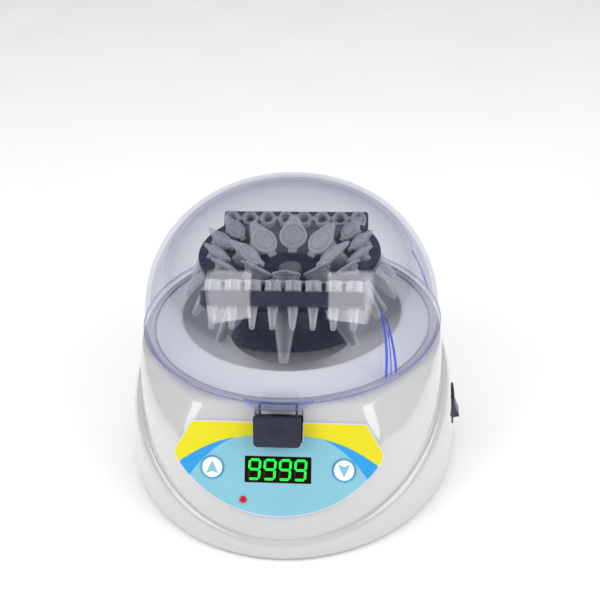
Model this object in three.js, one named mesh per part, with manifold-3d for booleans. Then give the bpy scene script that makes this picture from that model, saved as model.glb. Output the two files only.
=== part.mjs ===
// Bench-top mini centrifuge with a hinged clear dome: a composite rotor for 1.5 ml tubes, 0.5 ml tubes
// and two strips of 0.2 ml tubes. Millimetres, +Z up, front towards -Y, rotor axis along Z.
import * as THREE from "three";
import { mergeVertices } from "three/addons/utils/BufferGeometryUtils.js";
import Module from "manifold-3d";

const wasm = await Module();
wasm.setup();

// ---- Driving dimensions, with the rotor axis at X = Y = 0 and the floor at Z = 0 ----
const GAP = 0.35; // between a piece and the neighbour that it rests on
const WALL = 2.4; // moulded housing wall
const DECK_Z = 66; // top of the housing, under the dome's rim
const BASE_Z = 1.5; // lower edge of the skirt above the floor
const FACETS = 44; // sides of a large round solid

const SKIRT = [ // horizontal sections of the skirt: half width, front and rear in Y
  { z: BASE_Z, half: 80, front: -97.5, rear: 80 },
  { z: 30, half: 78.6, front: -96.5, rear: 79.5 },
  { z: DECK_Z, half: 74.6, front: -95, rear: 79 },
];
const BODY = [ // horizontal sections of the upper housing before the facets are cut
  { z: BASE_Z, half: 75, front: -94.5, rear: 76 },
  { z: 30, half: 74, front: -94.5, rear: 76 },
  { z: 50, half: 73, front: -94, rear: 76.5 },
  { z: 61, half: 72.6, front: -90, rear: 77 },
  { z: DECK_Z, half: 72, front: -84, rear: 77 },
];
const CREASE = { frontY: -94.5, frontZ: 11, slope: 23, rearZ: 57, lap: 3 }; // parting line of the two shells
const PANEL = { y: -83, z: 42.6, tilt: 59 }; // a point on the front facet and its slope in degrees
const CORNER = { x: 47, y: -76, z: 50, azimuth: 50, tilt: 52 }; // a point on the corner facet

const DOME = { radius: 70.8, rimZ: 69.2, rise: 65.4, power: 2.24, wall: 2.2, footZ: 67.2 };
const HINGE = { y: 76.6, z: 68.6, pinRadius: 1.2, barrelRadius: 3.4, halfWidth: 13, openAngle: 85 };
const BOWL = { // its lip rests on the deck and rises inwards to the mouth
  mouth: 52.8, lipTop: 71.9, lipFoot: 66.3, neck: 56.2, floorZ: 50, floorRadius: 38, hole: 6, wall: 1.8,
};
const ROTOR = {
  radius: 43, plateTop: 104, plateBottom: 100.5, dishEdge: 35, dishRadius: 12.5, dishZ: 90.5,
  skirtRadius: 31, skirtBottom: 60, facets: 36,
};
const BAR = { halfLength: 36.3, width: 12, thick: 6.4, depth: 8.8, webHalf: 16, reach: 26.8 }; // holds a strip
const CLEARANCE = 0.4; // round each tube in the rotor
const TILT = 40; // tubes lean outwards by this many degrees from the vertical
const LARGE = { count: 8, ring: 18.8, z: 102, length: 41.5, radius: 5.3, lid: 6.6 };
const SMALL = { perSide: 4, pitch: 22, ring: 32.6, z: 106, length: 28.5, radius: 3.7, lid: 4.9 };
const STRIP = { count: 8, pitch: 9, y: 31.2, z: 105.2, length: 22, radius: 2.9, lip: 3.8, collar: 5 };
const BUTTON = { width: 20.4, height: 13.4, depth: 3, y: -79.4, z: 59.2, tilt: 73 };
const KEY = { x: 28.6, v: -0.9, radius: 4.9 };
const DISPLAY = { width: 29.6, height: 12.2, v: -1.4 };
const LAMP = { x: -15, v: -14.7, radius: 1.4 };
const ROCKER = { wall: 79.7, y: -4, z: 19.5, width: 9, height: 13, lean: 14, bezel: 0.9 };
const INLET = { z: 24, width: 27, height: 20 };

const WHITE = 0xe9e9e6;
const NAVY = 0x33354a;
const PALETTE = {
  white: [WHITE, 0.25, 0], navy: [NAVY, 0.35, 0], black: [0x1b1b1e, 0.5, 0],
  clear: [0xc9cddd, 0.05, 0], frosted: [0xd5d9df, 0.4, 0], rubber: [0x242427, 0.85, 0],
  steel: [0xb9bcc0, 0.3, 0.9], label: [0x8fcada, 0.4, 0], board: [0x1f6b3f, 0.5, 0],
  red: [0xb02a2a, 0.3, 0], keytop: [0xf7fafb, 0.4, 0], seal: [0xc5c7cf, 0.8, 0],
  copper: [0x8c8f96, 0.4, 0.8],
};

// ---- Geometry helpers ----
const rad = THREE.MathUtils.degToRad;
const v2 = (x, y) => new THREE.Vector2(x, y);

// A closed solid of revolution about Z from [radius, height] pairs, listed upwards on the outside.
function lathe(pairs, sides = 24) {
  return new THREE.LatheGeometry(pairs.map(([r, z]) => v2(r, z)), sides).rotateX(Math.PI / 2);
}

function box(x, y, z) {
  return new THREE.BoxGeometry(x, y, z);
}

function cylinder(radius, height, sides = 24) {
  return new THREE.CylinderGeometry(radius, radius, height, sides).rotateX(Math.PI / 2);
}

function at(geometry, x, y, z, turn = {}) {
  if (turn.x) geometry.rotateX(rad(turn.x));
  if (turn.y) geometry.rotateY(rad(turn.y));
  if (turn.z) geometry.rotateZ(rad(turn.z));
  return geometry.translate(x, y, z);
}

function solid(geometry) {
  const bare = geometry.index ? geometry.toNonIndexed() : geometry.clone();
  const shape = new THREE.BufferGeometry().setAttribute("position", bare.getAttribute("position"));
  const merged = mergeVertices(shape, 1e-3);
  return new wasm.Manifold(new wasm.Mesh({
    numProp: 3,
    vertProperties: new Float32Array(merged.attributes.position.array),
    triVerts: new Uint32Array(merged.index.array),
  }));
}

function geometryOf(manifold) {
  const { numProp, vertProperties, triVerts } = manifold.getMesh();
  const points = new Float32Array((vertProperties.length / numProp) * 3);
  for (let i = 0; i < points.length / 3; i += 1)
    points.set(vertProperties.subarray(i * numProp, i * numProp + 3), i * 3);
  const made = new THREE.BufferGeometry();
  made.setAttribute("position", new THREE.BufferAttribute(points, 3));
  made.setIndex(new THREE.BufferAttribute(new Uint32Array(triVerts), 1));
  made.computeVertexNormals();
  return made;
}

const join = (...shapes) => shapes.map(asSolid).reduce((a, b) => a.add(b));
const cut = (first, ...rest) => rest.map(asSolid).reduce((a, b) => a.subtract(b), asSolid(first));
const asSolid = (shape) => (shape.isBufferGeometry ? solid(shape) : shape);

const assembly = new THREE.Group();

function add(name, shape, colour, parent = assembly) {
  const [color, roughness, metalness] = PALETTE[colour];
  const material = new THREE.MeshStandardMaterial({ color, roughness, metalness });
  const geometry = shape.isBufferGeometry ? shape : geometryOf(shape);
  const mesh = new THREE.Mesh(geometry, material);
  mesh.name = name;
  parent.add(mesh);
  return mesh;
}

// ---- Housing shells ----
function sectionAt(sections, z) {
  const above = sections.findIndex((s) => s.z >= z);
  const high = sections[above < 0 ? sections.length - 1 : above];
  const low = sections[Math.max(0, (above < 0 ? sections.length : above) - 1)];
  const t = high.z === low.z ? 0 : THREE.MathUtils.clamp((z - low.z) / (high.z - low.z), 0, 1);
  const mix = (key) => THREE.MathUtils.lerp(low[key], high[key], t);
  return { half: mix("half"), front: mix("front"), rear: mix("rear") };
}

// A solid of elliptic sections from z = low to z = high, all sides moved in by inset.
function loft(sections, inset, low, high) {
  const levels = [low, ...sections.map((s) => s.z).filter((z) => z > low && z < high), high];
  const shape = lathe([[0, low], ...levels.map((z) => [1, z]), [0, high]], FACETS);
  const points = shape.getAttribute("position");
  for (let i = 0; i < points.count; i += 1) {
    const { half, front, rear } = sectionAt(sections, points.getZ(i));
    points.setX(i, points.getX(i) * (half - inset));
    const reach = (rear - front) / 2 - inset;
    points.setY(i, (rear + front) / 2 + points.getY(i) * reach);
  }
  return shape;
}

const BLOCK = 400; // side of the cutting blocks, larger than the machine

// A block filling the space above a plane through a point, tilted by rotations about X, then Z.
function spaceAbove(x, y, z, tiltX, turnZ = 0) {
  const block = box(BLOCK, BLOCK, BLOCK).translate(0, 0, BLOCK / 2);
  return at(block, x, y, z, { x: tiltX, z: turnZ });
}

// Everything above the parting line, raised by lift.
function aboveCrease(lift) {
  const tilted = spaceAbove(0, CREASE.frontY, CREASE.frontZ + lift, CREASE.slope);
  return join(tilted, spaceAbove(0, 0, CREASE.rearZ + lift, 0));
}

// The housing's body with its three front facets, all sides moved in by inset.
function facetedBody(inset, low, high) {
  const depth = inset / Math.cos(rad(PANEL.tilt));
  const slope = inset / Math.cos(rad(CORNER.tilt));
  return cut(
    loft(BODY, inset, low, high),
    spaceAbove(0, PANEL.y, PANEL.z - depth, PANEL.tilt),
    spaceAbove(CORNER.x, CORNER.y, CORNER.z - slope, CORNER.tilt, CORNER.azimuth),
    spaceAbove(-CORNER.x, CORNER.y, CORNER.z - slope, CORNER.tilt, -CORNER.azimuth),
  );
}

// A frame on the front facet: X across, Y up the slope, Z out of the facet.
const panelFrame = new THREE.Group();
panelFrame.position.set(0, PANEL.y, PANEL.z);
panelFrame.rotation.x = rad(PANEL.tilt);
panelFrame.updateMatrixWorld(true);
const onPanel = (geometry, x, y, z) => geometry.translate(x, y, z).applyMatrix4(panelFrame.matrixWorld);

const BUTTON_SLOT = { width: BUTTON.width + 0.9, low: 51, rear: -69.5 };
const LABEL_NOTCH = 10.2; // how far up the facet the label reaches below the button

function upperHousing() {
  const keyHoles = [-KEY.x, KEY.x].map((x) => onPanel(cylinder(KEY.radius + 0.4, 12), x, KEY.v, 0));
  const window = onPanel(box(DISPLAY.width, DISPLAY.height, 12), 0, DISPLAY.v, 0);
  const lampHole = onPanel(cylinder(LAMP.radius + GAP, 12, 16), LAMP.x, LAMP.v, 0);
  const slotHeight = DECK_Z + 4 - BUTTON_SLOT.low;
  const slot = box(BUTTON_SLOT.width, 30, slotHeight)
    .translate(0, BUTTON_SLOT.rear - 15, BUTTON_SLOT.low + slotHeight / 2);
  const hingeRecess = box(2 * HINGE.halfWidth + 14, 12, 12).translate(0, HINGE.y + 1.5, DECK_Z);
  const shell = cut(facetedBody(0, BASE_Z, DECK_Z), facetedBody(WALL, -BASE_Z, DECK_Z - WALL));
  const above = shell.intersect(aboveCrease(-CREASE.lap));
  return cut(above, cylinder(BOWL.neck + 0.4, 40, FACETS).translate(0, 0, DECK_Z),
    slot, hingeRecess, window, lampHole, ...keyHoles);
}

// The skirt's wall, thickened along its top edge into a lip that closes on the upper housing.
function lowerHousing() {
  const inside = cut(loft(SKIRT, WALL, -BASE_Z, DECK_Z), aboveCrease(-CREASE.lap));
  const sideOpening = box(30, ROCKER.width + 2.5, ROCKER.height + 2.5)
    .translate(ROCKER.wall, ROCKER.y, ROCKER.z);
  const rearOpening = box(INLET.width, 30, INLET.height).translate(0, SKIRT[0].rear, INLET.z);
  return cut(loft(SKIRT, 0, BASE_Z, DECK_Z - 1), loft(BODY, -GAP, -BASE_Z, DECK_Z), inside,
    aboveCrease(0), sideOpening, rearOpening);
}

function basePlate() {
  const reach = (SKIRT[0].rear - SKIRT[0].front) / 2 - WALL - 0.8;
  const plate = cylinder(1, 2.4, FACETS).scale(SKIRT[0].half - WALL - 0.8, reach, 1);
  return plate.translate(0, (SKIRT[0].rear + SKIRT[0].front) / 2, 4.4);
}

add("lower_housing", lowerHousing(), "white");
add("upper_housing", upperHousing(), "white");

const FEET = [[-48, -62], [48, -62], [-48, 46], [48, 46]];
const SCREWS = [[-62, -8], [62, -8], [0, -84], [0, 66]];
const screwHoles = SCREWS.map(([x, y]) => cylinder(2.1, 8, 12).translate(x, y, 4.4));
const footHoles = FEET.map(([x, y]) => cylinder(2.4, 8, 16).translate(x, y, 4.4));
add("base_plate", cut(basePlate(), ...screwHoles, ...footHoles), "white");
FEET.forEach(([x, y], i) => {
  const foot = lathe([[0, 0], [6.2, 0], [7, 0.8], [7, 2.8], [2, 2.8], [2, 6.4], [0, 6.4]], 12);
  add(`rubber_foot_${i + 1}`, foot.translate(x, y, 0), "rubber");
});
SCREWS.forEach(([x, y], i) => {
  const screw = lathe([[0, 1.5], [3, 1.5], [3, 2.8], [1.7, 2.8], [1.7, 12], [0, 12]], 12);
  add(`base_screw_${i + 1}`, screw.translate(x, y, 0), "steel");
});

// ---- Chamber ----
function chamberBowl() {
  const { mouth, lipTop, lipFoot, neck, floorZ, floorRadius, hole, wall } = BOWL;
  const seatZ = DECK_Z + GAP;
  return lathe([
    [hole, floorZ - wall], [floorRadius, floorZ - wall], [50.2, 56], [54.4, 62], [neck, seatZ],
    [lipFoot, seatZ], [lipFoot, seatZ + 0.8], [mouth + 1.6, lipTop], [mouth, lipTop], [51.2, 62], [47, 56],
    [floorRadius - 1, floorZ], [hole, floorZ], [hole, floorZ - wall],
  ], FACETS);
}

add("chamber_bowl", chamberBowl(), "white");
add("lid_seal", lathe([[67.2, DECK_Z + 0.3], [69.6, DECK_Z + 0.3], [69.6, 66.9], [67.2, 66.9],
  [67.2, DECK_Z + 0.3]], FACETS), "seal");

// ---- Dome, its front tab and its hinge ----
function domeProfile(inset, footZ) {
  const steps = 7;
  const radius = DOME.radius - inset;
  const rise = DOME.rise - inset;
  const power = 2 / DOME.power;
  const curve = Array.from({ length: steps + 1 }, (_, i) => {
    const angle = (i / steps) * Math.PI / 2;
    const across = i === steps ? 0 : radius * Math.cos(angle) ** power;
    return [across, DOME.rimZ + rise * Math.sin(angle) ** power];
  });
  return [[0, footZ], [radius, footZ], ...curve];
}

function domeLid() {
  const flange = cylinder(DOME.radius + 1.4, 2, FACETS).translate(0, 0, DOME.footZ + 1);
  const hollow = lathe(domeProfile(DOME.wall, DOME.footZ - 1), FACETS);
  const tabShape = new THREE.Shape([v2(-15.5, -66), v2(-10, -76.4), v2(10, -76.4), v2(15.5, -66)]);
  const tab = new THREE.ExtrudeGeometry(tabShape, { depth: 2, bevelEnabled: false });
  const hooks = [-8, 8].map((x) => box(1.6, 3, 7).translate(x, -73, DOME.footZ - 3.2));
  const leaf = box(2 * HINGE.halfWidth, HINGE.y - 68, 2).translate(0, (HINGE.y + 68) / 2, DOME.footZ + 1);
  const barrel = at(cylinder(HINGE.barrelRadius, 2 * HINGE.halfWidth, 20), 0, HINGE.y, HINGE.z, { y: 90 });
  const bore = at(cylinder(HINGE.pinRadius + 0.4, 60, 16), 0, HINGE.y, HINGE.z, { y: 90 });
  const shell = join(lathe(domeProfile(0, DOME.footZ), FACETS), flange,
    tab.translate(0, 0, DOME.footZ), leaf, barrel);
  return cut(join(cut(shell, hollow), ...hooks), bore);
}

function hingeBracket() {
  const width = 2 * HINGE.halfWidth + 10;
  const foot = box(width, 6.4, 2.2).translate(0, HINGE.y - 1, 61.5);
  const ears = [-1, 1].map((side) => {
    const x = side * (HINGE.halfWidth + 2.7);
    const round = at(cylinder(3.2, 4, 20), x, HINGE.y, HINGE.z, { y: 90 });
    return join(round, box(4, 6.4, 8).translate(x, HINGE.y - 0.2, HINGE.z - 4));
  });
  const bore = at(cylinder(HINGE.pinRadius + 0.4, 60, 16), 0, HINGE.y, HINGE.z, { y: 90 });
  return cut(join(foot, ...ears), bore);
}

add("dome_lid", domeLid(), "clear");
add("hinge_bracket", hingeBracket(), "navy");
const pin = cylinder(HINGE.pinRadius, 2 * (HINGE.halfWidth + 4.6), 16);
add("hinge_pin", at(pin, 0, HINGE.y, HINGE.z, { y: 90 }), "steel");

// ---- Latch ----
function latchButton() {
  const outline = new THREE.Shape();
  const [w, h, r] = [BUTTON.width / 2, BUTTON.height / 2, 1.8];
  outline.moveTo(-w, -h + r).lineTo(-w, h).lineTo(w, h).lineTo(w, -h + r);
  outline.quadraticCurveTo(w, -h, w - r, -h).lineTo(-w + r, -h).quadraticCurveTo(-w, -h, -w, -h + r);
  const plate = new THREE.ExtrudeGeometry(outline,
    { depth: BUTTON.depth, bevelEnabled: false, curveSegments: 4 });
  const stem = box(9, 10.5, 6).translate(0, BUTTON.y + 3.2, BUTTON.z - 2);
  return join(at(plate, 0, BUTTON.y, BUTTON.z, { x: BUTTON.tilt }), stem);
}

add("latch_button", latchButton(), "navy");
add("latch_frame", box(24, 3, 9).translate(0, -66.3, 57), "navy");
add("lid_switch", box(12, 5.6, 6).translate(24, -66, 56), "black");

// ---- Front panel ----
const LABEL = { top: 20.5, topHalf: 38, tipHalf: 45.4, tipV: 7, sideV: 0.6, bottom: -22, thick: 0.5, lift: 0.3 };

function labelShape() {
  const { top, topHalf, tipHalf, tipV, sideV, bottom } = LABEL;
  const notch = BUTTON_SLOT.width / 2 + 0.6;
  const shape = new THREE.Shape();
  shape.moveTo(-topHalf, top).lineTo(-tipHalf, tipV);
  shape.quadraticCurveTo(-tipHalf - 0.8, 3.5, -tipHalf + 2.4, sideV);
  shape.quadraticCurveTo(-27, bottom + 0.6, 0, bottom);
  shape.quadraticCurveTo(27, bottom + 0.6, tipHalf - 2.4, sideV);
  shape.quadraticCurveTo(tipHalf + 0.8, 3.5, tipHalf, tipV).lineTo(topHalf, top);
  shape.lineTo(notch, top).lineTo(notch, LABEL_NOTCH).lineTo(-notch, LABEL_NOTCH).lineTo(-notch, top);
  shape.closePath();
  [-KEY.x, KEY.x].forEach((x) => shape.holes.push(circlePath(x, KEY.v, KEY.radius + 0.35)));
  shape.holes.push(circlePath(LAMP.x, LAMP.v, LAMP.radius + GAP));
  const [w, h] = [DISPLAY.width / 2, DISPLAY.height / 2];
  shape.holes.push(new THREE.Path([v2(-w, DISPLAY.v - h), v2(-w, DISPLAY.v + h),
    v2(w, DISPLAY.v + h), v2(w, DISPLAY.v - h)]));
  return shape;
}

function circlePath(x, y, radius) {
  return new THREE.Path().absarc(x, y, radius, 0, 2 * Math.PI, true);
}

const label = new THREE.ExtrudeGeometry(labelShape(),
  { depth: LABEL.thick, bevelEnabled: false, curveSegments: 7 });
add("panel_label", onPanel(label, 0, 0, LABEL.lift), "label");
const windowPlate = box(DISPLAY.width - 2 * GAP, DISPLAY.height - 2 * GAP, 1.6);
add("display_window", onPanel(windowPlate, 0, DISPLAY.v, 0), "black");
add("led_display", onPanel(box(28, 11, 4.4), 0, DISPLAY.v, -3.4), "black");
const BOARD_DEPTH = -6.9; // middle of the control board behind the facet
const lamp = lathe([[0, -5.6], [LAMP.radius - 0.2, -5.6], [LAMP.radius - 0.2, 0.6], [0.8, 1.3], [0, 1.4]], 12);
add("status_led", onPanel(lamp, LAMP.x, LAMP.v, 0), "red");
const boardOutline = new THREE.Shape([v2(-34, 15), v2(-34, -6), v2(-20, -18), v2(20, -18), v2(34, -6), v2(34, 15)]);
const board = new THREE.ExtrudeGeometry(boardOutline, { depth: 1.6, bevelEnabled: false });
add("control_board", onPanel(board, 0, 0, BOARD_DEPTH - 0.8), "board");
const KEYS = [["up", -KEY.x], ["down", KEY.x]];
KEYS.forEach(([word, x]) => {
  const cap = lathe([[0, -2.2], [1.6, -2.2], [1.6, -0.6], [KEY.radius, -0.6], [KEY.radius, 0.9],
    [KEY.radius - 0.4, 1.3], [0, 1.3]], 20);
  add(`${word}_key`, onPanel(cap, x, KEY.v, 0), "keytop");
  const body = lathe([[0, -3.1 - 2.6], [3, -3.1 - 2.6], [3, -3.2], [1.4, -3.2], [1.4, -2.9], [0, -2.9]], 16);
  add(`${word}_switch`, onPanel(body, x, KEY.v, 0), "black");
});

// ---- Drive ----
const MOTOR = { radius: 17, low: 12, high: 44, shaftRadius: 2.5, legRing: 27, legRadius: 3 };
const legSpots = [90, 210, 330].map((angle) =>
  [MOTOR.legRing * Math.cos(rad(angle)), MOTOR.legRing * Math.sin(rad(angle))]);

function motorMount() {
  const plate = cylinder(MOTOR.legRing + 4, 2, 32).translate(0, 0, 45.7);
  const legs = legSpots.map(([x, y]) => cylinder(MOTOR.legRadius, 35, 12).translate(x, y, 27.5));
  const hole = cylinder(MOTOR.shaftRadius + 3, 10, 24).translate(0, 0, 45.7);
  return cut(join(plate, ...legs), hole);
}

add("motor_mount", motorMount(), "steel");
legSpots.forEach(([x, y], i) => {
  add(`motor_damper_${i + 1}`, cylinder(4.6, 3.6, 16).translate(x, y, 7.8), "rubber");
});
const motorCan = lathe([[0, MOTOR.low], [15, MOTOR.low], [MOTOR.radius, 14], [MOTOR.radius, MOTOR.high],
  [4.6, MOTOR.high], [4.6, 46.4], [2.9, 46.4], [2.9, 40], [0, 40]], 24);
add("motor_body", motorCan, "copper");
add("motor_shaft", cylinder(MOTOR.shaftRadius, 51, 20).translate(0, 0, 66), "steel");
const supply = join(box(54, 32, 1.6).translate(0, 48, 11), box(26, 20, 17).translate(-10, 48, 19),
  cylinder(6, 18, 20).translate(16, 48, 20));
add("supply_board", supply, "board");

// ---- Rotor and what it carries ----
// Turns a shape drawn along Z, with its mouth at the origin, into a tube seated at an angle round the rotor.
function seat(geometry, ring, z, angle) {
  return geometry.rotateY(rad(-TILT)).translate(ring, 0, z).rotateZ(rad(angle));
}

// A closed tube: body, collar and snapped-on lid, mouth at Z = 0 and tip at Z = -length.
const COLLAR = 3; // height of the collar and lid together
function closedTube({ length, radius, lid }) {
  return lathe([[0, -length], [radius * 0.35, -length + 0.5], [radius, -length * 0.5],
    [radius, -COLLAR], [lid, -COLLAR], [lid, 0], [0, 0]], 12);
}

// The room that a tube needs in the rotor.
function tubeRoom({ length, radius, lid }) {
  return lathe([[0, -length - 1], [radius + CLEARANCE, -length - 1], [radius + CLEARANCE, -COLLAR - CLEARANCE],
    [lid + CLEARANCE, -COLLAR - CLEARANCE], [lid + CLEARANCE, 2], [0, 2]], 12);
}

function lidTabs({ lid }) {
  const strap = box(4.2, lid * 0.9, 1.1).translate(lid + 0.9, 0, -0.9);
  const thumb = box(2.6, lid * 0.55, 1.1).translate(-lid - 0.5, 0, -0.9);
  return [strap, thumb];
}

function seatedTube(kind, angle) {
  const parts = [closedTube(kind), ...lidTabs(kind)];
  return join(...parts.map((part) => seat(part, kind.ring, kind.z, angle)));
}

const largeAngles = Array.from({ length: LARGE.count }, (_, i) => i * (360 / LARGE.count) - 90);
const smallAngles = [0, 180].flatMap((side) =>
  Array.from({ length: SMALL.perSide }, (_, i) => side + (i - (SMALL.perSide - 1) / 2) * SMALL.pitch));
const stripSpots = Array.from({ length: STRIP.count }, (_, i) => (i - (STRIP.count - 1) / 2) * STRIP.pitch);

// One 0.2 ml tube with a tall collar, open at the top.
function stripTube() {
  const { length, radius, lip, collar } = STRIP;
  return lathe([[0, -length], [1.1, -length], [radius, -9], [radius, -collar], [lip, -collar], [lip, 0],
    [2.5, 0], [0, -length + 2]], 8);
}

function stripRoom() {
  const { length, radius, lip, collar } = STRIP;
  const [slim, wide] = [radius + CLEARANCE, lip + CLEARANCE];
  return lathe([[0, -length - 3], [slim, -length - 3], [slim, -collar - CLEARANCE],
    [wide, -collar - CLEARANCE], [wide, 4], [0, 4]], 8);
}

// Places a shape drawn along Z at one of the strip's spots, on the front (-1) or rear (1) flat.
function onFlat(geometry, spot, side) {
  return geometry.rotateX(rad(side * TILT)).translate(spot, side * STRIP.y, STRIP.z);
}

function pcrStrip(side) {
  const tubes = stripSpots.map((spot) => onFlat(stripTube(), spot, side));
  const links = stripSpots.slice(1).map((spot) =>
    onFlat(box(3, 2, 1).translate(0, 0, -0.5), spot - STRIP.pitch / 2, side));
  return join(...tubes, ...links);
}

function rotorBlank() {
  const { radius, plateTop, plateBottom, dishEdge, dishRadius, dishZ, skirtRadius, skirtBottom } = ROTOR;
  const blank = lathe([
    [0, 84], [9, 84], [14, 66], [skirtRadius - 3, skirtBottom], [skirtRadius, skirtBottom],
    [skirtRadius - 1, skirtBottom + 6], [24, 92], [27, 96], [31, plateBottom], [radius, plateBottom],
    [radius, plateTop], [dishEdge, plateTop], [dishRadius, dishZ], [0, dishZ],
  ], ROTOR.facets);
  const slabs = [-1, 1].flatMap((side) => [
    box(2 * BAR.halfLength, BAR.width, BAR.thick).translate(0, 0, -BAR.depth),
    box(2 * BAR.webHalf, BAR.width, BAR.thick).translate(0, -side * (BAR.width - 1), -BAR.depth),
  ].map((slab) => onFlat(slab, 0, side)));
  const ends = [-1, 1].map((side) => box(100, 20, 20).translate(0, side * (BAR.reach + 10), plateTop));
  return join(cut(blank, ...ends), ...slabs);
}

function rotor() {
  const largeRoom = largeAngles.map((angle) => seat(tubeRoom(LARGE), LARGE.ring, LARGE.z, angle));
  const smallRoom = smallAngles.map((angle) => seat(tubeRoom(SMALL), SMALL.ring, SMALL.z, angle));
  const stripsRoom = [-1, 1].flatMap((side) => stripSpots.map((spot) => onFlat(stripRoom(), spot, side)));
  const bore = cylinder(MOTOR.shaftRadius + GAP, 60, 20).translate(0, 0, 80);
  return cut(rotorBlank(), ...largeRoom, ...smallRoom, ...stripsRoom, bore);
}

add("rotor", rotor(), "navy");
const NUT = { radius: 5.6, top: 95.2, low: ROTOR.dishZ + GAP };
const nut = lathe([[0, 92], [MOTOR.shaftRadius + GAP, 92], [MOTOR.shaftRadius + GAP, NUT.low],
  [NUT.radius, NUT.low], [NUT.radius, NUT.top - 0.6], [NUT.radius - 0.6, NUT.top], [0, NUT.top]], 16);
add("rotor_nut", nut, "navy");
largeAngles.forEach((angle, i) => add(`tube_large_${i + 1}`, seatedTube(LARGE, angle), "frosted"));
smallAngles.forEach((angle, i) => add(`tube_small_${i + 1}`, seatedTube(SMALL, angle), "frosted"));
add("pcr_strip_front", pcrStrip(-1), "frosted");
add("pcr_strip_rear", pcrStrip(1), "frosted");

// ---- Power entry ----
function switchFrame() {
  const { wall, y, z, width, height, bezel } = ROCKER;
  const rim = box(bezel, width + 4.2, height + 4.2).translate(wall + bezel / 2, y, z);
  const bucket = box(14, width + 1.8, height + 1.8).translate(wall - 6.5, y, z);
  const hollow = box(19, width + 0.6, height + 0.6).translate(wall, y, z);
  return cut(join(rim, bucket), hollow);
}

// A rocker with two lobes, leaning so that its lower half stands proud; it turns about an axis along Y.
function rockerCap() {
  const h = ROCKER.height / 2 - 0.3;
  const outline = new THREE.Shape([v2(-3, -h), v2(2.9, -h), v2(1.9, 0), v2(2.9, h), v2(-3, h), v2(-4, 0)]);
  const cap = new THREE.ExtrudeGeometry(outline, { depth: ROCKER.width, bevelEnabled: false });
  return cap.translate(0, 0, -ROCKER.width / 2).rotateX(Math.PI / 2).rotateY(rad(-ROCKER.lean))
    .translate(ROCKER.wall - 0.5, ROCKER.y, ROCKER.z);
}

function powerInlet() {
  const y = SKIRT[0].rear;
  const bezel = box(INLET.width + 5, 2.4, INLET.height + 5).translate(0, y + 1.4, INLET.z);
  const body = box(INLET.width - 1, 18, INLET.height - 1).translate(0, y - 8.2, INLET.z);
  const socket = box(INLET.width - 5, 16, INLET.height - 5).translate(0, y - 3, INLET.z);
  const blades = [[-7, -1], [0, 3], [7, -1]].map(([x, z]) => box(2, 14, 4).translate(x, y - 9, INLET.z + z));
  return join(cut(join(bezel, body), socket), ...blades);
}

add("switch_frame", switchFrame(), "navy");
add("power_rocker", rockerCap(), "navy");
add("power_inlet", powerInlet(), "black");

// ---- The part's own frame: the middle of its footprint, on the floor ----
assembly.updateMatrixWorld(true);
const extent = new THREE.Box3().setFromObject(assembly);
assembly.position.set(-(extent.min.x + extent.max.x) / 2, -(extent.min.y + extent.max.y) / 2, -extent.min.z);

export default assembly;
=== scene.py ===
import math

import bmesh
import bpy
import numpy as np
from mathutils import Matrix, Vector


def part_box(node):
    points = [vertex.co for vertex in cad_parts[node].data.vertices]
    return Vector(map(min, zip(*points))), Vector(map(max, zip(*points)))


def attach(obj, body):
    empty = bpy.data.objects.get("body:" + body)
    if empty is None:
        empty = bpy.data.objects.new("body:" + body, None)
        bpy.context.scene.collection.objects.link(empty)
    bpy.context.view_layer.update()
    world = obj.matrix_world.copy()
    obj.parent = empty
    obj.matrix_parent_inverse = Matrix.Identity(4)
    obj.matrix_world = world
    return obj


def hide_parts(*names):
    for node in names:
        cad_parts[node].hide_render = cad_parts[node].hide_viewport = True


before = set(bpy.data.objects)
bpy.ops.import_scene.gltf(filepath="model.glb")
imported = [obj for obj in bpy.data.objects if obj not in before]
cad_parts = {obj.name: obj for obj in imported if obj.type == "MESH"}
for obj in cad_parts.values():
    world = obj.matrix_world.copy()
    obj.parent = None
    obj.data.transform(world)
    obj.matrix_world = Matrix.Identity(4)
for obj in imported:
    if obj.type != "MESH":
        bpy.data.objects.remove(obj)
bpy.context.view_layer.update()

# Shapes are written in millimetres round the rotor's axis, as the CAD is, and placed by its shaft.
MM = 0.001
shaft_low, shaft_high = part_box("motor_shaft")
ORIGIN = np.array([(shaft_low.x + shaft_high.x) / 2, (shaft_low.y + shaft_high.y) / 2, 0])
DECK = 66.0  # height of the housing's flat top


# ---- Materials ----
def blank_material(name):
    made = bpy.data.materials.new(name)
    made.use_nodes = True
    tree = made.node_tree
    tree.nodes.clear()
    return made, tree


def node(tree, kind, **values):
    """A shader node with the given values in its inputs."""
    made = tree.nodes.new(kind)
    for key, value in values.items():
        made.inputs[key.replace("_", " ")].default_value = value
    return made


def wire(tree, *pairs):
    for a, b in pairs:
        tree.links.new(a, b)


def noise(tree, scale, detail=3.0):
    """Noise that stays fixed to the object as it moves."""
    coords = node(tree, "ShaderNodeTexCoord")
    made = node(tree, "ShaderNodeTexNoise", Scale=scale, Detail=detail)
    wire(tree, (coords.outputs["Object"], made.inputs["Vector"]))
    return made.outputs["Fac"]


def ranged(tree, value, low, high, start=0.3, stop=0.7):
    """The value, taken from start and stop to low and high."""
    made = node(tree, "ShaderNodeMapRange", From_Min=start, From_Max=stop, To_Min=low, To_Max=high)
    wire(tree, (value, made.inputs["Value"]))
    return made.outputs["Result"]


def mixed(tree, value, a, b, start=0.35, stop=0.65):
    """Colour a where the value is start, and colour b where it is stop."""
    made = node(tree, "ShaderNodeValToRGB")
    for element, position, colour in zip(made.color_ramp.elements, (start, stop), (a, b)):
        element.position = position
        element.color = (*colour, 1)
    wire(tree, (value, made.inputs["Fac"]))
    return made.outputs["Color"]


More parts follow.
